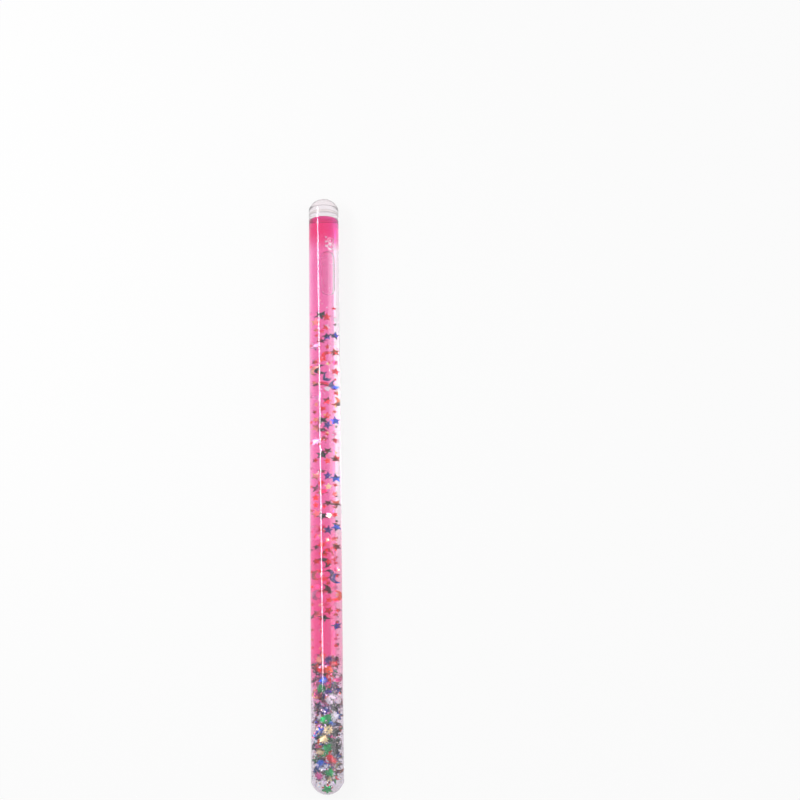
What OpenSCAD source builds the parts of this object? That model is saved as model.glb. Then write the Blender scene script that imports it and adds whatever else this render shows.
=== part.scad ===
// A clear toy wand that lies along Y on the ground, with its tip toward +Y.
// A domed plug closes a round-ended tube of pink liquid, in which foil stars and moons drift and settle.

/* [Tube] */
// Length of the clear tube, from its round base end to its cut end
tube_length = 304; // [260:1:420]
// Outer diameter of the tube
tube_diameter = 16; // [13:0.1:24]
// Thickness of the tube's wall
tube_wall = 1.3; // [1:0.1:1.8]
// Bevel on the edges of the tube's cut end
tube_bevel = 0.3; // [0.1:0.05:0.4]
// How far the round base end rises from the straight wall
base_rise = 6; // [4:0.1:7.8]

/* [Tip plug] */
// How far the plug's dome rises from its land
dome_rise = 5.6; // [3:0.1:7]
// Height of the straight land between the tube's end and the dome
land_height = 0.4; // [0.2:0.1:1.5]
// How far the land stands in from the tube's outside
land_inset = 0.1; // [0.05:0.05:0.4]
// Length of the spigot inside the tube
spigot_length = 6.2; // [3.2:0.1:9]
// Lead-in bevel at the spigot's inner end
spigot_bevel = 0.5; // [0.2:0.1:0.8]
// Room round the spigot for the bond
bond_gap = 0.05; // [0.02:0.01:0.15]
// Width of the bond ring and of its groove in the spigot
bond_width = 1.2; // [0.6:0.1:1.5]
// Depth of the groove that holds the bond ring
bond_depth = 0.5; // [0.3:0.1:1]

/* [Liquid] */
// Film between the liquid and the walls round it
liquid_film = 0.03; // [0.02:0.01:0.1]
// Diameter of the air bubble
bubble_diameter = 6.4; // [3:0.1:7.5]
// Length of the air bubble's straight middle
bubble_straight = 18.1; // [2:0.1:30]
// Distance from the tip plug to the air bubble
bubble_from_plug = 19.3; // [12:0.1:30]
// Least thickness of liquid between a bubble and the bore
bubble_skin = 0.15; // [0.1:0.05:0.4]
// How far round from the top line the air bubble lies
bubble_swing = 30; // [-60:1:60]
// Diameter of the small bubbles in front of the air bubble
small_bubble = 1.5; // [0.6:0.1:2]
// Number of small bubbles
small_bubble_count = 9; // [1:1:12]
// How far round from one row of small bubbles to the next
small_bubble_swing = 20; // [15:1:40]

/* [Foil flakes] */
// Diameter of the circle through a star's points, and of a moon's outer edge
flake_size = 5.1; // [3.4:0.1:5.8]
// Diameter of the circle through a star's inner corners
star_waist = 2.2; // [1.2:0.1:2.8]
// Number of points on a star
star_point_count = 5; // [4:1:6]
// Diameter of the round bite that makes a moon
moon_bite = 4; // [3:0.1:4.4]
// How far the bite lies from the moon's centre
moon_shift = 1.4; // [1.2:0.1:2]
// Thickness of the foil
foil_thickness = 0.12; // [0.08:0.01:0.2]
// Film of liquid round each flake
flake_film = 0.03; // [0.02:0.01:0.06]

/* [Confetti layout] */
// Least gap between a flake and the tube's bore
wall_gap = 0.2; // [0.1:0.02:0.6]
// Least thickness of liquid between neighbouring stacks of flakes, however they are turned
cell_gap = 0.02; // [0.02:0.01:0.3]
// Distance between the flakes of one settled stack
stack_gap = 0.5; // [0.4:0.05:1]
// Number of flakes that lie together in each settled stack
stack_count = 3; // [1:1:3]
// Number of layers in the settled bed
layer_count = 10; // [5:1:14]
// How much the settled bed loosens with each layer up from the base end
bed_loosening = 0.02; // [0:0.01:0.05]
// How far the settled lanes turn about the tube's axis from one layer to the next
bed_twist = 14; // [0:1:14]
// Number of drifting flakes in each lane along the tube
drift_count = 13; // [4:1:16]
// Room between the drifting flakes and the bed below them or the air bubble above them
drift_margin = 3; // [1:0.5:12]
// Largest tilt of a flake from lying flat
tilt_limit = 42; // [20:1:90]
// Number that picks the random layout
layout_seed = 11; // [1:1:99]

/* [Hidden] */
$fn = 64;
COLOURS = ["red", "gold", "green", "blue", "purple", "silver", "pink", "orange"];
PAINT = ["#c8203c", "#e0a838", "#2f9a58", "#2f6fd0", "#4a2a7c", "#d8dce4", "#f07ab4", "#e8663c"];
SHAPES = ["stars", "moons"];
STATES = ["settled", "drifting"];

golden_ratio = (1 + sqrt(5)) / 2;
// Angle of the first lane, at which no lane lies straight above another
first_lane = 75;
// One deal of colours out of so many is cut as moons, in the bed and among the drifting flakes
settled_moon_turn = 3;
drifting_moon_turn = 4;
// Spare width of a lane, as a share of its cells' size, which gives the twisted lanes their room
lane_slack = 0.02;
// Steps through the colours, from one settled flake to the next and from one deal to the next
colour_step = 5;
deal_step = 3;
// Rows of small bubbles along the tube
small_bubble_rows = 3;
// Step along the tube from one small bubble to the next, as a share of their diameter
small_bubble_step = 0.55;

tube_radius = tube_diameter / 2;
bore_radius = tube_radius - tube_wall;
spigot_radius = bore_radius - bond_gap;
groove_radius = spigot_radius - bond_depth;
groove_start = (spigot_length - spigot_bevel - bond_width) / 2;
land_radius = tube_radius - land_inset;
dome_radius = cap_ball(land_radius, dome_rise);
wand_length = tube_length + land_height + dome_rise;
tube_end = tube_length - wand_length / 2;
base_ball = cap_ball(tube_radius, base_rise);
base_middle = base_ball - wand_length / 2;
bore_ball = base_ball - tube_wall;
liquid_radius = bore_radius - liquid_film;
liquid_top = tube_end - spigot_length - liquid_film;
bubble_tip = liquid_top - bubble_from_plug;
bubble_end = bubble_tip - bubble_straight - bubble_diameter;

// Radius of the ball whose cap has that rise over a circle of that radius
function cap_ball(radius, rise) = (pow(radius, 2) + pow(rise, 2)) / (2 * rise);

// Each stack of flakes can turn freely inside its own ball-shaped cell. The cells stand in lanes
// along the tube: a ring of lanes next to the wall, and one lane on the axis where there is room.
stack_height = (stack_count - 1) * stack_gap + foil_thickness;
cell_size = norm([flake_size, stack_height]) + 2 * flake_film + cell_gap;
ring_radius = bore_radius - wall_gap - cell_size / 2;
lane_share = (1 + lane_slack) * cell_size / 2 / ring_radius;
ring_lanes = ring_radius > 0 && lane_share < 1 ? floor(180 / asin(lane_share)) : 0;
has_core = ring_lanes == 0 || ring_radius >= cell_size;
lanes = ring_lanes + (has_core ? 1 : 0);
lane_angle = 360 / max(ring_lanes, 1);

// One stack lies on the axis at the foot of the round base end. The lanes of the bed begin above it.
foot_reach = bore_ball - wall_gap - cell_size / 2;
foot_place = base_middle - foot_reach;
foot_rise = has_core ? cell_size : sqrt(max(0, pow(cell_size, 2) - pow(ring_radius, 2)));
bed_base = max(foot_place + foot_rise, base_middle - sqrt(pow(foot_reach, 2) - pow(ring_radius, 2)));
bed_top = bed_place(layer_count) + cell_size / 2;

// Each drifting colour keeps to one lane, so that it can travel along the tube.
colour_count = len(COLOURS);
drift_lanes = min(lanes, colour_count);
lane_flakes = max(drift_count, 2 * ceil(colour_count / drift_lanes));
drift_top = bubble_end - drift_margin;
drift_step = (drift_top - bed_top - drift_margin) / (lane_flakes + 1);

settled_flakes = (layer_count * lanes + 1) * stack_count;
drifting_flakes = drift_lanes * lane_flakes;
all_flakes = settled_flakes + drifting_flakes;
tilt_draw = rands(-tilt_limit, tilt_limit, all_flakes, layout_seed);
heading_draw = rands(0, 360, all_flakes, layout_seed + 1);
spin_draw = rands(0, 360, all_flakes, layout_seed + 2);
stray_draw = rands(0, 1, drifting_flakes, layout_seed + 3);

function fraction(value) = value - floor(value);

// Middle of a lane in the tube's cross-section, with the ring of lanes turned by an angle
function lane_middle(lane, turn) =
    let (angle = first_lane + turn + lane_angle * lane)
    lane < ring_lanes ? ring_radius * [cos(angle), sin(angle)] : [0, 0];

// Place along the tube of a level in the bed, which is counted in layers
function bed_place(level) =
    bed_base + cell_size * (level + bed_loosening * level * (level + 1) / 2);

// The settled flakes come first in the numbering, stack by stack from the foot, and the drifting ones follow
// lane by lane.
function is_settled(flake) = flake < settled_flakes;
function drift_of(flake) = flake - settled_flakes;
function step_of(flake) = drift_of(flake) % lane_flakes;

function in_foot(flake) = flake < stack_count;
function bed_stack(flake) = floor(flake / stack_count) - 1;

function lane_of(flake) =
    in_foot(flake) ? ring_lanes
        : is_settled(flake) ? bed_stack(flake) % lanes
        : floor(drift_of(flake) / lane_flakes);

// Level of a settled stack in the bed: each lane starts at a level of its own.
function level_of(flake) = floor(bed_stack(flake) / lanes) + fraction(golden_ratio * lane_of(flake));

// Number of colours that share a drifting flake's lane
function lane_colours(flake) = ceil((colour_count - lane_of(flake)) / drift_lanes);

// Each deal gives every colour once: every colour of the bed, or every colour of a drifting flake's lane.
function deal_of(flake) =
    is_settled(flake) ? floor(flake / colour_count) : floor(step_of(flake) / lane_colours(flake));

function colour_of(flake) =
    is_settled(flake)
        ? (colour_step * flake + deal_step * deal_of(flake)) % colour_count
        : lane_of(flake) + drift_lanes * (step_of(flake) % lane_colours(flake));

function shape_of(flake) =
    deal_of(flake) % (is_settled(flake) ? settled_moon_turn : drifting_moon_turn) == 1 ? "moons" : "stars";

// Place of a drifting flake along its lane: even steps from the lane's own start, with a random stray
// that leaves a whole cell between neighbours
function drifting_place(flake) =
    let (
        start = drift_step * fraction(golden_ratio * lane_of(flake)),
        stray = max(0, drift_step - cell_size) * stray_draw[drift_of(flake)]
    )
    drift_top - cell_size / 2 - start - drift_step * step_of(flake) - stray;

function place_of(flake) =
    in_foot(flake) ? foot_place
        : is_settled(flake) ? bed_place(level_of(flake))
        : drifting_place(flake);

// Puts a flake that lies flat at the origin into its cell. The flakes of a stack share one tilt.
module in_cell(flake) {
    settled = is_settled(flake);
    middle = lane_middle(lane_of(flake), settled ? bed_twist * level_of(flake) : 0);
    height = settled ? (flake % stack_count - (stack_count - 1) / 2) * stack_gap : 0;
    lead = settled ? flake - flake % stack_count : flake;
    translate([middle.x, place_of(flake), tube_radius + middle.y])
        rotate([tilt_draw[lead], 0, heading_draw[lead]])
            translate([0, 0, height])
                rotate(spin_draw[flake])
                    children();
}

module star_outline(size, waist) {
    polygon([
        for (corner = [0 : 2 * star_point_count - 1])
            let (angle = 180 * corner / star_point_count, reach = (corner % 2 == 0 ? size : waist) / 2)
            reach * [cos(angle), sin(angle)]
    ]);
}

module moon_outline(size, bite) {
    difference() {
        circle(d = size);
        translate([moon_shift, 0])
            circle(d = bite);
    }
}

// A flake, or with a film the room that it takes up in the liquid
module flake_solid(shape, film = 0) {
    grown = flake_size + 2 * film;
    linear_extrude(foil_thickness + 2 * film, center = true)
        if (shape == "stars")
            star_outline(grown, star_waist * grown / flake_size);
        else
            moon_outline(grown, moon_bite - 2 * film);
}

module confetti(state, colour, shape) {
    color(PAINT[colour])
        for (flake = [0 : all_flakes - 1])
            if (is_settled(flake) == (state == "settled"))
                if (colour_of(flake) == colour && shape_of(flake) == shape)
                    in_cell(flake)
                        flake_solid(shape);
}

// Turns a shape that stands along Z, about the origin, into the lying wand.
module along_wand() {
    translate([0, 0, tube_radius])
        rotate([-90, 0, 0])
            children();
}

// Moves a shape that stands on the tube's cut end there.
module at_cut_end() {
    along_wand()
        translate([0, 0, tube_end])
            union()
                children();
}

// A rod up to a height, whose lower end is rounded by a ball about the middle of the base end
module round_ended_rod(radius, ball, top) {
    intersection() {
        translate([0, 0, base_middle - ball])
            cylinder(r = radius, h = top - base_middle + ball);
        translate([0, 0, base_middle]) {
            sphere(ball);
            cylinder(r = 2 * radius, h = wand_length);
        }
    }
}

module tube() {
    color("#e8eef2", 0.35)
        along_wand()
            difference() {
                round_ended_rod(tube_radius, base_ball, tube_end);
                round_ended_rod(bore_radius, bore_ball, wand_length);
                translate([0, 0, tube_end - tube_bevel])
                    cut_end_bevels();
            }
}

// What the bevels take off the inner and outer edge of the tube's cut end
module cut_end_bevels() {
    cylinder(r1 = bore_radius, r2 = bore_radius + tube_bevel, h = tube_bevel);
    difference() {
        cylinder(r = 2 * tube_radius, h = tube_bevel);
        cylinder(r1 = tube_radius, r2 = tube_radius - tube_bevel, h = tube_bevel);
    }
}

// Half the section of the spigot, with the groove for the bond ring
module spigot_section() {
    polygon([
        [0, land_height],
        [spigot_radius, land_height],
        [spigot_radius, -groove_start],
        [groove_radius, -groove_start],
        [groove_radius, -groove_start - bond_width],
        [spigot_radius, -groove_start - bond_width],
        [spigot_radius, spigot_bevel - spigot_length],
        [spigot_radius - spigot_bevel, -spigot_length],
        [0, -spigot_length]
    ]);
}

// The plug's dome, which seats on the tube's end by its land: a rod cut by a large ball
module dome() {
    height = land_height + dome_rise;
    intersection() {
        cylinder(r = land_radius, h = height);
        translate([0, 0, height - dome_radius])
            sphere(dome_radius);
    }
}

module tip_plug() {
    color("#eef2f4", 0.5)
        at_cut_end() {
            dome();
            rotate_extrude()
                spigot_section();
        }
}

module bond_ring() {
    color("#f6f4ec", 0.6)
        at_cut_end()
            translate([0, 0, liquid_film - groove_start - bond_width])
                rotate_extrude()
                    translate([groove_radius + liquid_film, 0])
                        square([bond_depth + bond_gap - 2 * liquid_film, bond_width - 2 * liquid_film]);
}

// Lifts a bubble of the given diameter to the upper side of the bore, at an angle from the top line.
module at_upper_side(diameter, swing) {
    translate([0, 0, tube_radius])
        rotate([0, swing, 0])
            translate([0, 0, liquid_radius - bubble_skin - diameter / 2])
                children();
}

module air_bubble() {
    at_upper_side(bubble_diameter, bubble_swing)
        translate([0, bubble_end + bubble_diameter / 2, 0]) {
            sphere(d = bubble_diameter);
            translate([0, bubble_straight, 0])
                sphere(d = bubble_diameter);
            rotate([-90, 0, 0])
                cylinder(d = bubble_diameter, h = bubble_straight);
        }
}

// The small bubbles gather in front of the air bubble, by turns in each row.
module small_bubbles() {
    for (bubble = [1 : small_bubble_count])
        at_upper_side(small_bubble, bubble_swing + small_bubble_swing * (bubble % small_bubble_rows - 1))
            translate([0, bubble_tip + small_bubble_step * small_bubble * bubble, 0])
                sphere(d = small_bubble);
}

module liquid() {
    color("#f0409c", 0.6)
        difference() {
            along_wand()
                round_ended_rod(liquid_radius, bore_ball - liquid_film, liquid_top);
            air_bubble();
            small_bubbles();
            for (flake = [0 : all_flakes - 1])
                in_cell(flake)
                    flake_solid(shape_of(flake), flake_film);
        }
}

tube();
tip_plug();
bond_ring();
liquid();
for (state = STATES)
    for (colour = [0 : colour_count - 1])
        for (shape = SHAPES)
            confetti(state, colour, shape);
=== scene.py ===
"""Looks of a clear toy wand that lies along Y on the floor, with its tip toward +Y.

Clear shells, liquid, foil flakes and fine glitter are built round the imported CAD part.
Lengths are in metres, as in the frame; MM turns a size in millimetres into them.
"""
import math
import random

import bmesh
import bpy
import numpy as np
from mathutils import Matrix, Quaternion, Vector


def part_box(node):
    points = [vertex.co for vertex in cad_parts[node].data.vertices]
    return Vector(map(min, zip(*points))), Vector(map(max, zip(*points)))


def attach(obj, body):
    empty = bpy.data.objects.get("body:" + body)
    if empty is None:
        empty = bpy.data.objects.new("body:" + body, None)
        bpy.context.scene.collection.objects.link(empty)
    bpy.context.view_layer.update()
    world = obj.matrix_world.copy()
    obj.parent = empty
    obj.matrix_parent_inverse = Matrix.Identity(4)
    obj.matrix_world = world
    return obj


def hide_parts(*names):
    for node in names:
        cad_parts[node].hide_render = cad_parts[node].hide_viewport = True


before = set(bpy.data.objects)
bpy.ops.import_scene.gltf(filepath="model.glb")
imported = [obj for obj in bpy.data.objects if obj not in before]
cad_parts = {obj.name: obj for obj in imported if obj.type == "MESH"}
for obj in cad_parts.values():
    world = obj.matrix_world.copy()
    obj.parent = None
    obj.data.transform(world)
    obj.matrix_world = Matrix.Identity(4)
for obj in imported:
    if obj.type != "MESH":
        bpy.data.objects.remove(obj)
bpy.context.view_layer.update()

MM = 0.001

# The gap between the liquid and the bore in the CAD part
LIQUID_GAP = 0.03 * MM

# Sizes read from the frame: the lying wand's axis, its tube, its plug and its liquid
tube_low, tube_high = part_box("tube")
liquid_low, liquid_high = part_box("liquid")
plug_low, plug_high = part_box("tip_plug")
TUBE_RADIUS = (tube_high.x - tube_low.x) / 2
TUBE_END = tube_high.y
AXIS_Z = (tube_low.z + tube_high.z) / 2
BORE_RADIUS = liquid_high.x + LIQUID_GAP
TUBE_WALL = TUBE_RADIUS - BORE_RADIUS
LAND_RADIUS = plug_high.x
SPIGOT_END = plug_low.y
WAND_TIP = plug_high.y

# Sizes that the frame's boxes don't show, after the CAD part
EDGE_FILLET = 0.3 * MM
BASE_RISE = 6.0 * MM
BASE_BALL = (TUBE_RADIUS ** 2 + BASE_RISE ** 2) / (2 * BASE_RISE)
BASE_MIDDLE = tube_low.y + BASE_BALL
LAND_HEIGHT = 0.4 * MM
SPIGOT_BEVEL = 0.5 * MM
GROOVE_DEPTH = 0.55 * MM
GROOVE_WIDTH = 1.2 * MM
GROOVE_RADIUS = BORE_RADIUS - GROOVE_DEPTH
GROOVE_TOP = TUBE_END - 2.25 * MM
GROOVE_BOTTOM = GROOVE_TOP - GROOVE_WIDTH
FLAKE_RADIUS = 2.55 * MM
STAR_POINTS = 5
STAR_WAIST_RADIUS = 1.1 * MM
MOON_BITE_RADIUS = 2.0 * MM
MOON_SHIFT = 1.4 * MM
LANE_COUNT = 4
BED_TOP = -86 * MM
BUBBLE_RADIUS = 3.2 * MM
BUBBLE_TIP = liquid_high.y - 19.3 * MM
BUBBLE_END = BUBBLE_TIP - 24.5 * MM
BUBBLE_SWING = math.radians(30)
BUBBLE_GAP = 0.18 * MM
SMALL_BUBBLE_COUNT = 9
SMALL_BUBBLE_ROWS = 3
SMALL_BUBBLE_RADIUS = 0.75 * MM
SMALL_BUBBLE_STEP = 1.1 * SMALL_BUBBLE_RADIUS
SMALL_BUBBLE_SWING = math.radians(20)

# The liquid, the plug and the bond run a hair into what they touch, so that light passes from one
# to the other without an air gap between them.
WETTING = 0.04 * MM
WET_RADIUS = BORE_RADIUS + WETTING

# Sizes of the looks alone
ROUND_STEPS = 144
SMALL_FILLET = 0.08 * MM
FOIL_THICKNESS = 0.05 * MM
FILM_THICKNESS = 0.03 * MM
# How far fine glitter and froth stay from the wall
WALL_GAP = 0.1 * MM
# The bend of a curled flake, and how much it differs from flake to flake
CURL_RADIUS = 4.5 * MM
CURL_SPREAD = 2.5 * MM
# How far the stars on the bed's upper side lie from the axis: those that show, and those under them
BED_FACE_REACH = 5.6 * MM
BED_FACE_UNDER = 5.4 * MM
# The channels between the lanes of drifting flakes: the first one's angle, their reach and room
FIRST_CHANNEL = math.radians(30)
CHANNEL_REACH = 5.42 * MM
CHANNEL_ROOM = 1.12 * MM
# The dye's radius, its gap to wall and plug, where it begins to thin out and over what length
DYE_RADIUS = 5.2 * MM
DYE_GAP = 0.02 * MM
DYE_FOOT = -88 * MM
DYE_FADE = 46 * MM


# Materials

def linear(code):
    """An sRGB hex colour as linear red, green, blue and alpha."""
    parts = [int(code[i:i + 2], 16) / 255 for i in (1, 3, 5)]
    return (*(c / 12.92 if c <= 0.04045 else ((c + 0.055) / 1.055) ** 2.4 for c in parts), 1)


def add(tree, kind, inputs=None, **settings):
    """Adds a node with its settings. An input is a value for its socket, or a socket to link."""
    node = tree.nodes.new(kind)
    for name, value in settings.items():
        setattr(node, name, value)
    for name, value in (inputs or {}).items():
        if isinstance(value, bpy.types.NodeSocket):
            tree.links.new(value, node.inputs[name])
        else:
            node.inputs[name].default_value = value
    return node


def set_ramp(ramp, stops):
    """Gives a colour ramp node its stops, as pairs of place and hex colour."""
    band = ramp.color_ramp
    while len(band.elements) < len(stops):
        band.elements.new(1)
    for element, (place, code) in zip(band.elements, stops):
        element.position = place
        element.color = linear(code)
    return ramp


def new_material(name):
    """An empty node material, with its tree, its output and the wand's own coordinates."""
    material = bpy.data.materials.new(name)
    material.use_nodes = True
    tree = material.node_tree
    tree.nodes.clear()
    out = add(tree, "ShaderNodeOutputMaterial")
    place = add(tree, "ShaderNodeTexCoord").outputs["Object"]
    return material, tree, out, place


def per_metre(size):
    """Scale of a pattern whose features are about that long."""
    return 1 / size


def clear_acrylic(name, tint, haze, clarity, line_size):
    """Drawn or moulded acrylic: glassy, a little hazy from handling, with faint tool lines."""
    material, tree, out, place = new_material(name)
    smudges = add(tree, "ShaderNodeTexNoise", {
        "Vector": place, "Scale": per_metre(9 * MM), "Detail": 4})
    haze_range = add(tree, "ShaderNodeMapRange", {
        "Value": smudges.outputs["Fac"], "From Min": 0.35, "From Max": 0.75,
        "To Min": 0.4 * haze, "To Max": haze})
    stretch = add(tree, "ShaderNodeMapping", {"Vector": place, "Scale": (1, 0.02, 1)})
    lines = add(tree, "ShaderNodeTexNoise", {
        "Vector": stretch.outputs["Vector"], "Scale": per_metre(line_size), "Detail": 2})
    relief = add(tree, "ShaderNodeBump", {
        "Height": lines.outputs["Fac"], "Strength": 0.12, "Distance": 0.02 * MM})
    shader = add(tree, "ShaderNodeBsdfPrincipled", {
        "Base Color": linear(tint), "Roughness": haze_range.outputs["Result"], "IOR": 1.49,
        "Transmission Weight": clarity, "Normal": relief.outputs["Normal"]})
    tree.links.new(shader.outputs["BSDF"], out.inputs["Surface"])
    return material


def cured_bond():
    """Cured acrylic cement: a clear, slightly warm ring with fine trapped air that clouds it."""
    material, tree, out, place = new_material("cured_acrylic_cement")
    air = add(tree, "ShaderNodeTexVoronoi", {"Vector": place, "Scale": per_metre(0.5 * MM)})
    cloud = set_ramp(add(tree, "ShaderNodeValToRGB", {"Fac": air.outputs["Distance"]}), [
        (0.0, "#fffdfb"), (0.7, "#fbf6f2")])
    shader = add(tree, "ShaderNodeBsdfPrincipled", {
        "Base Color": cloud.outputs["Color"], "Roughness": 0.1, "IOR": 1.48,
        "Transmission Weight": 0.97})
    tree.links.new(shader.outputs["BSDF"], out.inputs["Surface"])
    return material


def dyed_liquid():
    """Water and glycerine: clear, with streaks of dye gathered at the tip and above the bed."""
    material, tree, out, place = new_material("dyed_glycerine")
    along = add(tree, "ShaderNodeSeparateXYZ", {"Vector": place}).outputs["Y"]
    reach = 12 * MM
    swirl = add(tree, "ShaderNodeTexNoise", {
        "Vector": place, "Scale": per_metre(14 * MM), "Detail": 3})
    drift = add(tree, "ShaderNodeMath", {
        0: swirl.outputs["Fac"], 1: reach, 2: along}, operation="MULTIPLY_ADD")
    share = add(tree, "ShaderNodeMapRange", {
        "Value": drift.outputs["Value"],
        "From Min": liquid_low.y + reach / 2, "From Max": liquid_high.y + reach / 2})
    dye = set_ramp(add(tree, "ShaderNodeValToRGB", {"Fac": share.outputs["Result"]}), [
        (0.00, "#d8ccd8"), (0.13, "#ead8e6"), (0.22, "#f8a6c6"), (0.38, "#f8aac8"),
        (0.50, "#fff0f6"), (0.80, "#fffafd"), (0.945, "#fff4f9"), (0.968, "#ff5cb0"),
        (1.0, "#ff54ae")])
    shader = add(tree, "ShaderNodeBsdfPrincipled", {
        "Base Color": dye.outputs["Color"], "Roughness": 0.03, "IOR": 1.36,
        "Transmission Weight": 1.0})
    tree.links.new(shader.outputs["BSDF"], out.inputs["Surface"])
    return material


def dissolved_dye():
    """Dye dissolved in the liquid: a thick layer shows deep pink and a thin one pale. It has the
    liquid on both sides, so its own surface bends no light."""
    material, tree, out, _ = new_material("dissolved_dye")
    shader = add(tree, "ShaderNodeBsdfPrincipled", {
        "Base Color": linear("#ffffff"), "Roughness": 0.0, "IOR": 1.0, "Transmission Weight": 1.0})
    depth = add(tree, "ShaderNodeVolumeAbsorption", {"Color": linear("#fe00c8"), "Density": 190})
    tree.links.new(shader.outputs["BSDF"], out.inputs["Surface"])
    tree.links.new(depth.outputs["Volume"], out.inputs["Volume"])
    return material


def bubble_skin():
    """The liquid's skin round the air bubble. It bends light less than water does to air, because
    the bubble's edge hardly shows in the real wand."""
    material, tree, out, place = new_material("bubble_skin")
    ripple = add(tree, "ShaderNodeTexNoise", {
        "Vector": place, "Scale": per_metre(2.5 * MM), "Detail": 2})
    cloud = add(tree, "ShaderNodeMapRange", {
        "Value": ripple.outputs["Fac"], "From Min": 0.3, "From Max": 0.7,
        "To Min": 0.06, "To Max": 0.3})
    shader = add(tree, "ShaderNodeBsdfPrincipled", {
        "Base Color": linear("#fff6fb"), "Roughness": cloud.outputs["Result"], "IOR": 1.08,
        "Transmission Weight": 0.95})
    tree.links.new(shader.outputs["BSDF"], out.inputs["Surface"])
    return material


def bubble_shine():
    """The flattened tops of small bubbles, where the air throws the light back like silver."""
    material, tree, out, place = new_material("bubble_shine")
    films = add(tree, "ShaderNodeTexVoronoi", {"Vector": place, "Scale": per_metre(0.6 * MM)})
    dull = add(tree, "ShaderNodeMapRange", {
        "Value": films.outputs["Distance"], "From Min": 0.1, "From Max": 0.6,
        "To Min": 0.1, "To Max": 0.35})
    shader = add(tree, "ShaderNodeBsdfPrincipled", {
        "Base Color": linear("#ffffff"), "Metallic": 1.0, "Roughness": dull.outputs["Result"]})
    tree.links.new(shader.outputs["BSDF"], out.inputs["Surface"])
    return material


def foil_with_painted_crease_light(name, deep, plain, bright):
    """Metallised polyester film: a lacquered mirror, painted darker in its creases and lighter on its
    ridges, as painted shade and painted highlights.
    """
    material, tree, out, place = new_material(name)
    creases = add(tree, "ShaderNodeTexNoise", {
        "Vector": place, "Scale": per_metre(1.6 * MM), "Detail": 3, "Distortion": 0.6})
    # The deep stop is painted shade in the creases and the bright stop a painted highlight on the
    # ridges, from the same noise as the bump.
    colour = set_ramp(add(tree, "ShaderNodeValToRGB", {"Fac": creases.outputs["Fac"]}), [
        (0.26, deep), (0.42, plain), (0.60, plain), (0.76, bright)])
    crumple = add(tree, "ShaderNodeBump", {
        "Height": creases.outputs["Fac"], "Strength": 0.5, "Distance": 0.25 * MM})
    shader = add(tree, "ShaderNodeBsdfPrincipled", {
        "Base Color": colour.outputs["Color"], "Metallic": 1.0, "Roughness": 0.26,
        "Normal": crumple.outputs["Normal"]})
    tree.links.new(shader.outputs["BSDF"], out.inputs["Surface"])
    return material


def glitter_film(name, colours, patch):
    """Cut metallised film: each speck throws back its own pure, bright colour, which changes from
    patch to patch."""
    material, tree, out, place = new_material(name)
    specks = add(tree, "ShaderNodeTexVoronoi", {"Vector": place, "Scale": per_metre(patch)})
    pick = add(tree, "ShaderNodeSeparateColor", {"Color": specks.outputs["Color"]})
    colour = set_ramp(add(tree, "ShaderNodeValToRGB", {"Fac": pick.outputs["Red"]}), [
        (i / len(colours), code) for i, code in enumerate(colours)])
    colour.color_ramp.interpolation = "CONSTANT"
    shader = add(tree, "ShaderNodeBsdfPrincipled", {
        "Base Color": colour.outputs["Color"], "Metallic": 1.0, "Roughness": 0.2})
    tree.links.new(shader.outputs["BSDF"], out.inputs["Surface"])
    return material


# Shapes

def soften(outline, radius, steps=5):
    """Rounds the corners of an open outline, whose ends stay as they are."""
    points = [Vector(p) for p in outline]
    # A ring just outside each fillet keeps the flat next to it flat.
    ring_gap = 0.25 * radius
    soft = [points[0]]
    for last, corner, following in zip(points, points[1:], points[2:]):
        before = (last - corner).normalized()
        after = (following - corner).normalized()
        half = before.angle(after) / 2
        reach = radius / math.tan(half)
        middle = corner + (before + after).normalized() * radius / math.sin(half)
        start, end = corner + before * reach, corner + after * reach
        swing = (start - middle).angle_signed(end - middle)
        soft.append(start + before * ring_gap)
        for step in range(steps + 1):
            turn = -swing * step / steps
            arm = start - middle
            soft.append(middle + Vector((
                arm.x * math.cos(turn) - arm.y * math.sin(turn),
                arm.x * math.sin(turn) + arm.y * math.cos(turn))))
        soft.append(end + after * ring_gap)
    return soft + [points[-1]]


def spin(mesh, outline, x=0.0, z=AXIS_Z, steps=ROUND_STEPS, closed=False, hollow=False):
    """Revolves an outline of radius and Y about an axis along Y, into a bmesh. A hollow faces inward
    and takes the piece's second material."""
    rings = []
    for radius, y in outline:
        if radius == 0:
            rings.append([mesh.verts.new((x, y, z))])
            continue
        angles = (math.tau * step / steps for step in range(steps))
        rings.append([
            mesh.verts.new((x + radius * math.cos(a), y, z + radius * math.sin(a))) for a in angles])
    pairs = list(zip(rings, rings[1:])) + ([(rings[-1], rings[0])] if closed else [])
    faces = []
    for one, two in pairs:
        for step in range(steps):
            corners = [one[step % len(one)], one[(step + 1) % len(one)],
                       two[(step + 1) % len(two)], two[step % len(two)]]
            corners = list(dict.fromkeys(corners))
            if len(corners) > 2:
                faces.append(mesh.faces.new(corners))
    bmesh.ops.recalc_face_normals(mesh, faces=faces)
    if hollow:
        bmesh.ops.reverse_faces(mesh, faces=faces)
        for face in faces:
            face.material_index = 1


def make_piece(name, mesh, materials, body, nodes=()):
    """Turns a bmesh into a piece of the wand, which rides on a body and may stand for CAD nodes."""
    data = bpy.data.meshes.new(name)
    mesh.to_mesh(data)
    mesh.free()
    for material in materials:
        data.materials.append(material)
    data.shade_smooth()
    data.set_sharp_from_angle(angle=math.radians(40))
    piece = bpy.data.objects.new(name, data)
    bpy.context.collection.objects.link(piece)
    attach(piece, body)
    if nodes:
        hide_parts(*nodes)


def base_arc(radius, ball, steps=24):
    """Outline of a round base end, from its pole to a ring that keeps the straight wall straight."""
    reach = math.asin(radius / ball)
    angles = [reach * i / steps for i in range(steps + 1)]
    arc = [(ball * math.sin(a), BASE_MIDDLE - ball * math.cos(a)) for a in angles]
    straight_ring = arc[-1][1] + 0.4 * MM
    return arc + [(radius, straight_ring)]


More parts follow.
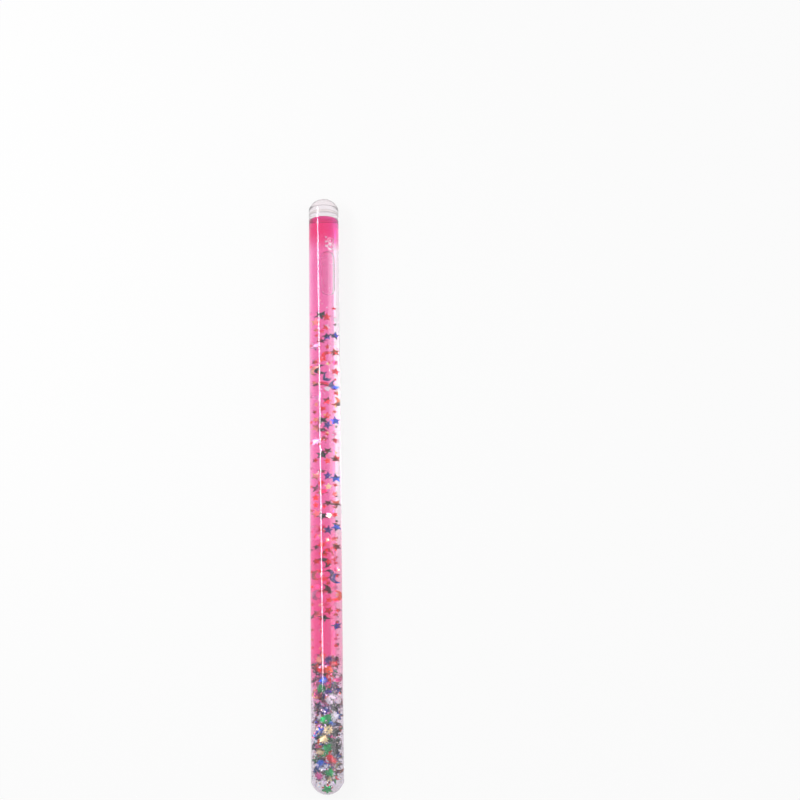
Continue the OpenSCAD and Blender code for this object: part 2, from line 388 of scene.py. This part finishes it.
def clear_tube():
    """The tube, with a closed round base and a polished rim at its cut end."""
    outside = base_arc(TUBE_RADIUS, BASE_BALL)
    inside = base_arc(BORE_RADIUS, BASE_BALL - TUBE_WALL)[::-1]
    cut_end = [outside[-1], (TUBE_RADIUS, TUBE_END), (BORE_RADIUS, TUBE_END), inside[0]]
    mesh = bmesh.new()
    spin(mesh, outside[:-1] + soften(cut_end, EDGE_FILLET) + inside[1:])
    return mesh


def domed_plug():
    """The tip's plug: dome, land and grooved spigot. It follows the tube's cut end and fills its
    bevels."""
    rise = WAND_TIP - TUBE_END - LAND_HEIGHT
    ball = (LAND_RADIUS ** 2 + rise ** 2) / (2 * rise)
    reach = math.asin(LAND_RADIUS / ball)
    dome_steps, bevel_steps = 30, 6
    angles = [reach * i / dome_steps for i in range(dome_steps)]
    dome = [(ball * math.sin(a), WAND_TIP - ball + ball * math.cos(a)) for a in angles]
    hair = 0.01 * MM
    bevel_end = TUBE_END - EDGE_FILLET
    land = [(LAND_RADIUS, TUBE_END + LAND_HEIGHT), (LAND_RADIUS + hair, TUBE_END + 10 * hair),
            (TUBE_RADIUS - hair, bevel_end)]
    bend = EDGE_FILLET - WETTING
    quarter = [math.pi / 2 * i / bevel_steps for i in range(bevel_steps + 1)]
    rim = [(TUBE_RADIUS - EDGE_FILLET + bend * math.cos(a), bevel_end + bend * math.sin(a))
           for a in quarter]
    rim += [(BORE_RADIUS + EDGE_FILLET - bend * math.sin(a), bevel_end + bend * math.cos(a))
            for a in quarter]
    spigot = soften([
        rim[-1], (WET_RADIUS, GROOVE_TOP), (GROOVE_RADIUS, GROOVE_TOP),
        (GROOVE_RADIUS, GROOVE_BOTTOM), (WET_RADIUS, GROOVE_BOTTOM),
        (WET_RADIUS, SPIGOT_END + SPIGOT_BEVEL), (WET_RADIUS - SPIGOT_BEVEL, SPIGOT_END),
        (0, SPIGOT_END),
    ], SMALL_FILLET, steps=3)
    mesh = bmesh.new()
    spin(mesh, dome + land + rim[:-1] + spigot)
    return mesh


def bond_ring():
    """The ring of bond, which fills its groove."""
    mesh = bmesh.new()
    inner, outer = GROOVE_RADIUS - WETTING, WET_RADIUS
    top, bottom = GROOVE_TOP + WETTING, GROOVE_BOTTOM - WETTING
    middle = (top + bottom) / 2
    outline = soften([
        (inner, middle), (inner, top), (outer, top), (outer, bottom), (inner, bottom),
        (inner, middle),
    ], SMALL_FILLET, steps=3)
    spin(mesh, outline[:-1], closed=True)
    return mesh


def capsule(start, end, radius, steps=16):
    """Outline of a round-ended bubble along Y, from pole to pole."""
    nothing = 1e-9
    arc = [math.pi / 2 * i / steps for i in range(steps + 1)]
    cap = [(radius * math.sin(a), end - radius + radius * math.cos(a)) for a in arc]
    foot = [(r, start + end - y) for r, y in reversed(cap)]
    outline = cap + [p for p in foot if abs(p[1] - cap[-1][1]) > nothing]
    return [(0 if r < nothing else r, y) for r, y in outline]


def bubble_axis(radius, swing):
    """Where the axis of a bubble of that radius lies against the upper side of the bore."""
    arm = BORE_RADIUS - BUBBLE_GAP - radius
    return arm * math.sin(swing), AXIS_Z + arm * math.cos(swing)


def liquid_body():
    """The liquid, with its long air bubble and the small bubbles in front of it."""
    mesh = bmesh.new()
    top = SPIGOT_END + WETTING
    wall = base_arc(WET_RADIUS, BASE_BALL - TUBE_WALL + WETTING)[::-1]
    shoulder = soften([(0, top), (WET_RADIUS, top), wall[0]], 0.1 * MM, steps=3)
    spin(mesh, shoulder + wall[1:])
    x, z = bubble_axis(BUBBLE_RADIUS, BUBBLE_SWING)
    spin(mesh, capsule(BUBBLE_END, BUBBLE_TIP, BUBBLE_RADIUS), x, z, steps=64, hollow=True)
    for centre, _ in small_bubble_places():
        start, end = centre.y - SMALL_BUBBLE_RADIUS, centre.y + SMALL_BUBBLE_RADIUS
        ball = capsule(start, end, SMALL_BUBBLE_RADIUS, steps=8)
        spin(mesh, ball, centre.x, centre.z, steps=24, hollow=True)
    return mesh


def small_bubble_places():
    """Centres of the small bubbles, in rows in front of the air bubble, and their ways outward."""
    for count in range(1, SMALL_BUBBLE_COUNT + 1):
        row = count % SMALL_BUBBLE_ROWS - 1
        x, z = bubble_axis(SMALL_BUBBLE_RADIUS, BUBBLE_SWING + SMALL_BUBBLE_SWING * row)
        centre = Vector((x, BUBBLE_TIP + SMALL_BUBBLE_STEP * count, z))
        yield centre, Vector((x, 0, z - AXIS_Z)).normalized()


def bubble_tops():
    """The tops of the small bubbles, pressed flat under the wall."""
    mesh = bmesh.new()
    height, radius = 0.55 * SMALL_BUBBLE_RADIUS, 0.7 * SMALL_BUBBLE_RADIUS
    for centre, outward in small_bubble_places():
        cut_film(mesh, centre + outward * height, outward, radius, turn=0, corners=16)
    return thicken(mesh, FILM_THICKNESS)


def foam_rims():
    """The bright rims of two froth cells round the small bubbles, flat against the wall."""
    mesh = bmesh.new()
    reach = BORE_RADIUS - WALL_GAP
    half_width = 0.17 * MM
    steps = 40
    # How far each cell lies ahead of the air bubble, and its radius
    for ahead, size in ((2.2 * MM, 1.6 * MM), (5.6 * MM, 1.5 * MM)):
        loops = []
        for radius in (size - half_width, size + half_width):
            loop = []
            for a in (math.tau * i / steps for i in range(steps)):
                swing = BUBBLE_SWING + radius * math.cos(a) / reach
                y = BUBBLE_TIP + ahead + radius * math.sin(a)
                loop.append(mesh.verts.new(
                    (reach * math.sin(swing), y, AXIS_Z + reach * math.cos(swing))))
            loops.append(loop)
        for i in range(steps):
            j = (i + 1) % steps
            mesh.faces.new((loops[0][i], loops[0][j], loops[1][j], loops[1][i]))
    return thicken(mesh, FILM_THICKNESS)


def dye_with_painted_caustic():
    """The room that most of the dye takes up in the liquid, thinning out into the bed. It lies left of
    the axis, so that the right side stays clear and pale: a painted caustic, for the light that the
    liquid gathers on that side."""
    mesh = bmesh.new()
    top = SPIGOT_END - DYE_GAP
    steps = 12
    thinning = [(DYE_RADIUS * math.sqrt(1 - i / steps), DYE_FOOT - DYE_FADE * i / steps)
                for i in range(steps + 1)]
    # The shift to the left leaves the right side pale: painted light.
    spin(mesh, [(0, top), (DYE_RADIUS, top)] + thinning, x=DYE_RADIUS + DYE_GAP - BORE_RADIUS)
    return mesh


# Foil flakes

def flakes_of(node):
    """The separate flakes of a CAD node, each as an array of its points."""
    mesh = bmesh.new()
    mesh.from_mesh(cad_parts[node].data)
    bmesh.ops.remove_doubles(mesh, verts=mesh.verts, dist=0.001 * MM)
    # A dict keeps the mesh's own order, which is the same in every run.
    waiting = dict.fromkeys(mesh.verts)
    found = []
    while waiting:
        front = [waiting.popitem()[0]]
        flake = []
        while front:
            vert = front.pop()
            flake.append(vert.co[:])
            for edge in vert.link_edges:
                near = edge.other_vert(vert)
                if near in waiting:
                    del waiting[near]
                    front.append(near)
        found.append(np.array(flake))
    mesh.free()
    return sorted(found, key=lambda points: tuple(points.mean(axis=0)))


def flake_axes(points, shape):
    """Centre, heading and normal of a flake: the heading runs to a star's point, or into a moon's
    bite."""
    middle = points.mean(axis=0)
    _, _, rows = np.linalg.svd(points - middle)
    normal = Vector(rows[2])
    if normal.z < 0:
        normal.negate()
    if shape == "stars":
        heading = Vector(max(points - middle, key=lambda p: p @ p))
    else:
        # A moon is widest across its heading, and its horns stand at the end with the bite.
        along, across = (points - middle) @ rows[1], (points - middle) @ rows[0]
        across = across - (across.max() + across.min()) / 2
        sign = 1 if abs(across[along.argmax()]) > abs(across[along.argmin()]) else -1
        heading = Vector(rows[1]) * sign
        back = (along * sign).min()
        middle = middle + np.array(heading) * (back + FLAKE_RADIUS)
    heading = (heading - normal * heading.dot(normal)).normalized()
    return Vector(middle), heading, normal


def star_sheet():
    """Flat points and faces of a star, as rings round its centre."""
    corners = []
    for i in range(2 * STAR_POINTS):
        reach = FLAKE_RADIUS if i % 2 == 0 else STAR_WAIST_RADIUS
        angle = math.pi * i / STAR_POINTS
        corners.append(Vector((reach * math.cos(angle), reach * math.sin(angle))))
    sides = list(zip(corners, corners[1:] + corners[:1]))
    side_steps = 4
    rim = [a.lerp(b, t / side_steps) for a, b in sides for t in range(side_steps)]
    count = len(rim)
    points = [Vector((0, 0))] + [p * share for share in (0.34, 0.67, 1.0) for p in rim]
    faces = [(0, 1 + i, 1 + (i + 1) % count) for i in range(count)]
    for inner in (1, 1 + count):
        outer = inner + count
        for i in range(count):
            j = (i + 1) % count
            faces.append((inner + i, outer + i, outer + j, inner + j))
    return points, faces


def moon_sheet():
    """Flat points and faces of a crescent, as a strip from horn to horn that opens toward +X."""
    horn_x = (MOON_SHIFT ** 2 + FLAKE_RADIUS ** 2 - MOON_BITE_RADIUS ** 2) / (2 * MOON_SHIFT)
    outer_start = math.acos(horn_x / FLAKE_RADIUS)
    inner_start = math.acos((horn_x - MOON_SHIFT) / MOON_BITE_RADIUS)
    bite = Vector((MOON_SHIFT, 0))
    points, faces = [], []
    steps, rows = 28, 3
    for i in range(1, steps):
        outer_angle = outer_start + (math.tau - 2 * outer_start) * i / steps
        inner_angle = inner_start + (math.tau - 2 * inner_start) * i / steps
        outer = Vector((math.cos(outer_angle), math.sin(outer_angle))) * FLAKE_RADIUS
        inner = Vector((math.cos(inner_angle), math.sin(inner_angle))) * MOON_BITE_RADIUS + bite
        points += [outer.lerp(inner, t / rows) for t in range(rows + 1)]
    wide = rows + 1
    for here in range(0, (steps - 2) * wide, wide):
        ahead = here + wide
        faces += [(here + t, ahead + t, ahead + t + 1, here + t + 1) for t in range(rows)]
    return points, faces


SHEETS = {"stars": star_sheet(), "moons": moon_sheet()}


def lay_foil(mesh, shape, centre, heading, normal):
    """Lays one flake, curled a little, into a mesh. Flakes that lie in one stack share their normal,
    and so share their curl and don't touch."""
    sheet, faces = SHEETS[shape]
    side = normal.cross(heading)
    # The bend's line, radius and side follow from the normal alone, each by odd factors of its own.
    lengthwise = (Vector((0, 1, 0)) - normal * normal.y).normalized()
    line = Quaternion(normal, 3 * normal.x + 2 * normal.y) @ lengthwise
    cross = normal.cross(line)
    radius = CURL_RADIUS + CURL_SPREAD * math.sin(23 * normal.x + 17 * normal.y)
    lift = 1 if math.sin(31 * normal.x - 19 * normal.y) > 0 else -1
    mean_sag = FLAKE_RADIUS ** 2 / (6 * radius)
    verts = []
    for point in sheet:
        flat = heading * point.x + side * point.y
        turn = flat.dot(cross) / radius
        sag = radius * (1 - math.cos(turn)) - mean_sag
        bent = line * flat.dot(line) + cross * radius * math.sin(turn) + normal * lift * sag
        verts.append(mesh.verts.new(centre + bent))
    for face in faces:
        mesh.faces.new([verts[i] for i in face])


def thicken(mesh, thickness):
    """Gives flat foil its thickness."""
    bmesh.ops.recalc_face_normals(mesh, faces=mesh.faces)
    bmesh.ops.solidify(mesh, geom=mesh.faces[:], thickness=thickness)
    return mesh


def curled_foil(node, shape):
    """All the flakes of a CAD node as thin foil."""
    mesh = bmesh.new()
    for cad_points in flakes_of(node):
        lay_foil(mesh, shape, *flake_axes(cad_points, shape))
    return thicken(mesh, FOIL_THICKNESS)


def bed_face(places):
    """Stars that lie against the wall on the upper side of the bed, at places across and along the
    wand in millimetres. Each has another one close under it, turned by half a point."""
    mesh = bmesh.new()
    middle_reach = (BED_FACE_REACH + BED_FACE_UNDER) / 2
    for across, along in places:
        swing = math.asin(across * MM / middle_reach)
        normal = Vector((math.sin(swing), 0, math.cos(swing)))
        place = Vector((0, along * MM, AXIS_Z))
        for reach, turn in ((BED_FACE_REACH, 0), (BED_FACE_UNDER, math.pi / STAR_POINTS)):
            # Odd factors of the place give each star a heading of its own.
            heading = Quaternion(normal, 7 * across + 3 * along + turn) @ Vector((0, 1, 0))
            lay_foil(mesh, "stars", place + normal * reach, heading, normal)
    return thicken(mesh, FOIL_THICKNESS)


# Fine glitter and small stars

UP = Vector((0, 0, 1))
SMALL_STAR = {"corners": 2 * STAR_POINTS, "waist": 0.5}
SMALL_STAR_SIZES = (1.3 * MM, 2.1 * MM)
CHANNEL_STAR_SIZES = (0.85 * MM, CHANNEL_ROOM)
SMALL_STAR_STRAY = 0.2
# Powers that crowd the pieces of film toward the wand's base
BED_CROWDING, LANE_CROWDING, CHANNEL_CROWDING = 1.2, 1.7, 1.5


def cut_film(mesh, centre, normal, size, turn, corners=6, waist=1):
    """Cuts one flat piece of film into a mesh. With a waist below 1 every other corner is drawn in."""
    heading = normal.orthogonal().normalized()
    side = normal.cross(heading)
    rim = []
    for k in range(corners):
        arm = size * (waist if k % 2 else 1)
        angle = turn + math.tau * k / corners
        way = heading * math.cos(angle) + side * math.sin(angle)
        rim.append(mesh.verts.new(centre + way * arm))
    mesh.faces.new(rim)


def tilted(rng, normal, stray):
    """A normal turned away at random."""
    nudge = Vector((rng.gauss(0, 1), rng.gauss(0, 1), rng.gauss(0, 1)))
    return (normal + stray * nudge).normalized()


def glitter(count, seed, sizes, depths, stretch, stray, star=False):
    """Specks of film, six-sided or star-shaped. Sizes are their radii, depths their places as shares
    of the bore's radius, and stretch their places along the wand. Specks face outward and stars lie
    flat, apart from a random stray."""
    rng = random.Random(seed)
    mesh = bmesh.new()
    low, high = stretch
    for _ in range(count):
        angle = rng.uniform(0, math.tau)
        outward = Vector((math.cos(angle), 0, math.sin(angle)))
        size = rng.uniform(*sizes)
        y = low + (high - low) * rng.random() ** BED_CROWDING
        below = max(0, BASE_MIDDLE - y)
        base_room = math.sqrt((BASE_BALL - TUBE_WALL) ** 2 - below ** 2)
        room = min(BORE_RADIUS, base_room) - WALL_GAP - (size if stray else 0)
        reach = room * math.sqrt(rng.uniform(depths[0] ** 2, depths[1] ** 2))
        normal = tilted(rng, UP if star else outward, stray)
        turn = rng.uniform(0, math.tau)
        spot = Vector((0, y, AXIS_Z)) + outward * reach
        cut_film(mesh, spot, normal, size, turn, **(SMALL_STAR if star else {}))
    return thicken(mesh, FILM_THICKNESS)


def lane_stars(lane, tries, seed):
    """Small stars that drift with the flakes of a lane. They stay clear of the flakes and inside the
    room that the flakes move in, and thin out toward the tip."""
    colours = [colour for colour in FOILS if LANES[colour] == lane]
    nodes = [f"drifting_{colour}_{shape}" for colour in colours for shape in SHEETS]
    flakes = [Vector(points.mean(axis=0)) for node in nodes for points in flakes_of(node)]
    middle = sum(flakes, Vector()) / len(flakes)
    low, high = min(spot.y for spot in flakes), max(spot.y for spot in flakes)
    taken = [(spot, FLAKE_RADIUS) for spot in flakes]
    rng = random.Random(seed)
    mesh = bmesh.new()
    for _ in range(tries):
        size = rng.uniform(*SMALL_STAR_SIZES)
        # Half the side of a square that keeps the star inside the lane's round
        room = 0.65 * (FLAKE_RADIUS - size)
        spot = Vector((
            middle.x + rng.uniform(-room, room),
            low + (high - low) * rng.random() ** LANE_CROWDING,
            middle.z + rng.uniform(-room, room)))
        normal = tilted(rng, UP, SMALL_STAR_STRAY)
        if all((spot - other).length > size + reach for other, reach in taken):
            taken.append((spot, size))
            cut_film(mesh, spot, normal, size, rng.uniform(0, math.tau), **SMALL_STAR)
    return thicken(mesh, FILM_THICKNESS)


def channel_stars(count, seed):
    """Small stars in the channels along the wall between the lanes, which no drifting flake reaches.
    They thin out from the bed toward the air bubble."""
    rng = random.Random(seed)
    mesh = bmesh.new()
    low, high = BED_TOP, BUBBLE_END - 5 * MM
    for number in range(count):
        angle = FIRST_CHANNEL + number * math.tau / LANE_COUNT
        spot = Vector((math.cos(angle), 0, math.sin(angle))) * CHANNEL_REACH
        share = ((number + rng.random()) / count) ** CHANNEL_CROWDING
        spot += Vector((0, low + (high - low) * share, AXIS_Z))
        size = rng.uniform(*CHANNEL_STAR_SIZES)
        normal = tilted(rng, UP, SMALL_STAR_STRAY)
        cut_film(mesh, spot, normal, size, rng.uniform(0, math.tau), **SMALL_STAR)
    return thicken(mesh, FILM_THICKNESS)


# The foils, the lanes that their drifting flakes keep to, and all the pieces of the wand

# The second and fourth colours of each foil are its painted shade and its painted highlight.
FOILS = {
    "red": foil_with_painted_crease_light("red_foil", "#a01430", "#e0243e", "#ff9a88"),
    "gold": foil_with_painted_crease_light("gold_foil", "#f0c870", "#fff2b4", "#fffdf0"),
    "green": foil_with_painted_crease_light("green_foil", "#0a5a2c", "#18b05c", "#a8f0b8"),
    "blue": foil_with_painted_crease_light("blue_foil", "#12307c", "#2a74ee", "#a8dcff"),
    "purple": foil_with_painted_crease_light("purple_foil", "#181236", "#40308e", "#a08ae8"),
    "silver": foil_with_painted_crease_light("silver_foil", "#a8b4bc", "#eef6f8", "#ffffff"),
    "pink": foil_with_painted_crease_light("pink_foil", "#b02878", "#f468b6", "#ffd4ea"),
    "orange": foil_with_painted_crease_light("orange_foil", "#b43c14", "#ff7c40", "#ffcaa4"),
}
LANES = {
    "red": "upper", "purple": "upper", "gold": "left", "silver": "left",
    "green": "lower", "pink": "lower", "blue": "right", "orange": "right",
}
# The stars that show on the upper side of the bed, in millimetres across and along the wand
BED_FACE = {
    "green": [(-2.6, -105), (-1.3, -120), (0.4, -119), (0.1, -133), (0.9, -144.6)],
    "gold": [(-3.1, -91), (0.4, -124.8), (-1.5, -129), (-3.3, -135)],
    "red": [(1.4, -100), (-2.4, -96), (2.8, -93), (2.4, -139), (0.8, -138)],
    "silver": [(1.0, -110.8), (2.4, -109), (3.2, -118.4), (-1.8, -142.4)],
    "blue": [(-1.6, -101), (-3.0, -140.4)],
    "purple": [(0.8, -91.5), (-1.0, -115.4)],
    "orange": [(0.9, -96)],
    "pink": [(-3.6, -146)],
    # These stars on the bed's right side are painted shade: near-black sheets for the shade between
    # the flakes there.
    "painted_shade": [(3.3, -114), (3.7, -125.6), (3.5, -131), (3.6, -134.5)],
}
# Near-black foil for the bed's painted shade
painted_shade_foil = foil_with_painted_crease_light("painted_shade_foil", "#0a0e10", "#1a2224", "#3c4c48")

tube_acrylic = clear_acrylic(
    "drawn_acrylic", "#fbfcfd", haze=0.05, clarity=1.0, line_size=0.8 * MM)
plug_acrylic = clear_acrylic(
    "moulded_acrylic", "#fff6fa", haze=0.3, clarity=0.95, line_size=2.5 * MM)
liquid_materials = [dyed_liquid(), bubble_skin()]
air_shine = bubble_shine()

make_piece("clear_tube", clear_tube(), [tube_acrylic], "wand", ["tube"])
make_piece("tip_dome", domed_plug(), [plug_acrylic], "wand", ["tip_plug"])
make_piece("tip_bond", bond_ring(), [cured_bond()], "wand", ["bond_ring"])
make_piece("pink_liquid", liquid_body(), liquid_materials, "wand", ["liquid"])
# The dye's shift to the left paints the caustic on the wand's right side.
make_piece("dye_and_painted_caustic", dye_with_painted_caustic(), [dissolved_dye()], "wand")
make_piece("bubble_tops", bubble_tops(), [air_shine], "wand")
make_piece("foam_rims", foam_rims(), [air_shine], "wand")

for colour, foil in FOILS.items():
    for shape in SHEETS:
        for state, body in (("settled", "wand"), ("drifting", LANES[colour] + "_flakes")):
            node = f"{state}_{colour}_{shape}"
            flakes = curled_foil(node, shape)
            make_piece(f"foil_{node}", flakes, [foil], body, [node])

for colour, places in BED_FACE.items():
    foil = FOILS.get(colour, painted_shade_foil)
    make_piece(f"bed_face_{colour}", bed_face(places), [foil], "wand")

silver_film = glitter_film("silver_glitter_film", [
    "#f4f6fa", "#c8ecf0", "#e8d0f0", "#f6f0d8", "#ffffff"], patch=0.9 * MM)
# The near-black colours of the rainbow and small-star specks are painted shade, for the shade between
# the flakes of the bed.
rainbow_film = glitter_film("rainbow_glitter_film", [
    "#18a054", "#1c1a26", "#c83c70", "#5cc8d0", "#8a4a78", "#6a5aa8", "#14343c", "#b878b0",
    "#54407e"], patch=0.9 * MM)
star_film = glitter_film("small_star_film", [
    "#14b058", "#f4f8fa", "#f02c48", "#d0f6f8", "#fff2ac", "#22222c", "#3a3aa0", "#f0e4f6",
    "#f468b6", "#16a852"], patch=3 * MM)
drift_film = glitter_film("drifting_star_film", [
    "#f02c48", "#fff2b4", "#ff5a50", "#f4f8fa", "#f02c48", "#ffeaa0", "#ffd8e6"], patch=3 * MM)

# Stretches along the wand
bed = (BASE_MIDDLE - 3 * MM, BED_TOP - 2 * MM)
deep_bed = (BASE_MIDDLE - 1 * MM, BED_TOP - 10 * MM)
above_bed = (BED_TOP, BUBBLE_END)

for name, film, specks in (
        ("bed_glitter", silver_film, glitter(
            900, seed=5, sizes=(0.2 * MM, 0.44 * MM), depths=(0.75, 1), stretch=bed, stray=0.2)),
        ("bed_rainbow_glitter", rainbow_film, glitter(
            420, seed=7, sizes=(0.2 * MM, 0.45 * MM), depths=(0.8, 1), stretch=deep_bed, stray=0.2)),
        ("bed_small_stars", star_film, glitter(
            190, seed=8, sizes=SMALL_STAR_SIZES, depths=(0.05, 0.7), stretch=deep_bed, stray=0.3,
            star=True)),
        ("wall_glitter", silver_film, glitter(
            260, seed=6, sizes=(0.16 * MM, 0.34 * MM), depths=(1, 1), stretch=above_bed, stray=0.0)),
        ("channel_stars", drift_film, channel_stars(72, seed=9))):
    make_piece(name, specks, [film], "wand")

for seed, lane in enumerate(("upper", "left", "lower", "right")):
    stars = lane_stars(lane, tries=90, seed=seed)
    make_piece(f"{lane}_small_stars", stars, [drift_film], lane + "_flakes")


# Studio: a pale floor, a long soft light to the left of the wand, and a weak fill to the right

def background_share(tree, straight, through):
    """How much a ray sees of the plain background: straight from the camera or off the wand, and
    through the wand."""
    path = add(tree, "ShaderNodeLightPath")
    seen = add(tree, "ShaderNodeMath", {
        0: path.outputs["Is Camera Ray"], 1: path.outputs["Is Glossy Ray"]}, operation="MAXIMUM")
    direct = add(tree, "ShaderNodeMath", {
        0: seen.outputs["Value"], 1: straight}, operation="MULTIPLY")
    passed = add(tree, "ShaderNodeMath", {
        0: path.outputs["Is Transmission Ray"], 1: through}, operation="MULTIPLY")
    return add(tree, "ShaderNodeMath", {
        0: direct.outputs["Value"], 1: passed.outputs["Value"]}, operation="MAXIMUM").outputs["Value"]


def studio_floor():
    """A white floor that glows to plain white and keeps a share of the wand's shadow."""
    material, tree, out, _ = new_material("white_floor")
    paper = add(tree, "ShaderNodeBsdfDiffuse", {"Color": linear("#f2f2f2")})
    glow = add(tree, "ShaderNodeEmission", {"Color": linear("#ffffff"), "Strength": 1.0})
    white_share = background_share(tree, straight=0.88, through=0.97)
    mix = add(tree, "ShaderNodeMixShader", {"Fac": white_share})
    tree.links.new(paper.outputs["BSDF"], mix.inputs[1])
    tree.links.new(glow.outputs["Emission"], mix.inputs[2])
    tree.links.new(mix.outputs["Shader"], out.inputs["Surface"])
    half = 3.0
    data = bpy.data.meshes.new("floor")
    corners = [(-half, -half, 0), (half, -half, 0), (half, half, 0), (-half, half, 0)]
    data.from_pydata(corners, [], [(0, 1, 2, 3)])
    data.materials.append(material)
    floor = bpy.data.objects.new("floor", data)
    # A hair below the wand, so that the two faces don't fight
    floor.location.z = -0.05 * MM
    bpy.context.collection.objects.link(floor)


def studio_world():
    """A plain soft level from all round, which shows as white behind the wand."""
    world = bpy.data.worlds.new("studio")
    world.use_nodes = True
    tree = world.node_tree
    tree.nodes.clear()
    level = add(tree, "ShaderNodeMapRange", {
        "Value": background_share(tree, straight=1, through=1), "To Min": 0.5, "To Max": 1.0})
    sky = add(tree, "ShaderNodeBackground", {
        "Color": linear("#ffffff"), "Strength": level.outputs["Result"]})
    out = add(tree, "ShaderNodeOutputWorld")
    tree.links.new(sky.outputs["Background"], out.inputs["Surface"])
    bpy.context.scene.world = world


def softbox(name, start, end, target, width, radiance):
    """A softbox that runs from start to end and faces its target. Radiance 1 looks white."""
    start, end = Vector(start), Vector(end)
    middle = (start + end) / 2
    length = (end - start).length
    along = (end - start).normalized()
    back = middle - Vector(target)
    back = (back - along * back.dot(along)).normalized()
    data = bpy.data.lights.new(name, "AREA")
    data.shape = "RECTANGLE"
    data.size, data.size_y = length, width
    data.energy = radiance * width * length * math.pi
    lamp = bpy.data.objects.new(name, data)
    lamp.location = middle
    lamp.rotation_mode = "QUATERNION"
    lamp.rotation_quaternion = Matrix((along, back.cross(along), back)).transposed().to_quaternion()
    lamp.visible_camera = False
    bpy.context.collection.objects.link(lamp)


def left_of_wand(reach, slant, y):
    """A place at that reach from the wand's axis, leaned to the left by that many degrees."""
    return -reach * math.sin(math.radians(slant)), y, reach * math.cos(math.radians(slant))


studio_floor()
studio_world()
softbox(
    "strip_light", start=left_of_wand(reach=0.5, slant=29, y=-0.07),
    end=left_of_wand(reach=0.5, slant=50, y=0.365), target=(0, 0.15, 0), width=0.054, radiance=14)
softbox(
    "fill_light", start=(0.7, -0.3, 0.6), end=(0.7, 0.5, 0.6), target=(0, 0.1, 0), width=0.6,
    radiance=1.0)

# Camera: high over the base end, as in the photograph, with the wand left of the middle
CAMERA_REACH = 0.700
CAMERA_HEIGHT = math.radians(78)
CAMERA_AIM = Vector((0.0396, 0.0445, 0))
CAMERA_ROLL = math.radians(10.94)
CAMERA_LENS = 61.26

lens = bpy.data.cameras.new("camera")
lens.lens = CAMERA_LENS
lens.sensor_width = 36
camera = bpy.data.objects.new("camera", lens)
camera.location = (
    0, -CAMERA_REACH * math.cos(CAMERA_HEIGHT), AXIS_Z + CAMERA_REACH * math.sin(CAMERA_HEIGHT))
camera.rotation_mode = "QUATERNION"
camera.rotation_quaternion = (
    (CAMERA_AIM - camera.location).to_track_quat("-Z", "Y") @ Quaternion((0, 0, 1), CAMERA_ROLL))
bpy.context.collection.objects.link(camera)
bpy.context.scene.camera = camera
bpy.context.scene.view_settings.view_transform = "Standard"
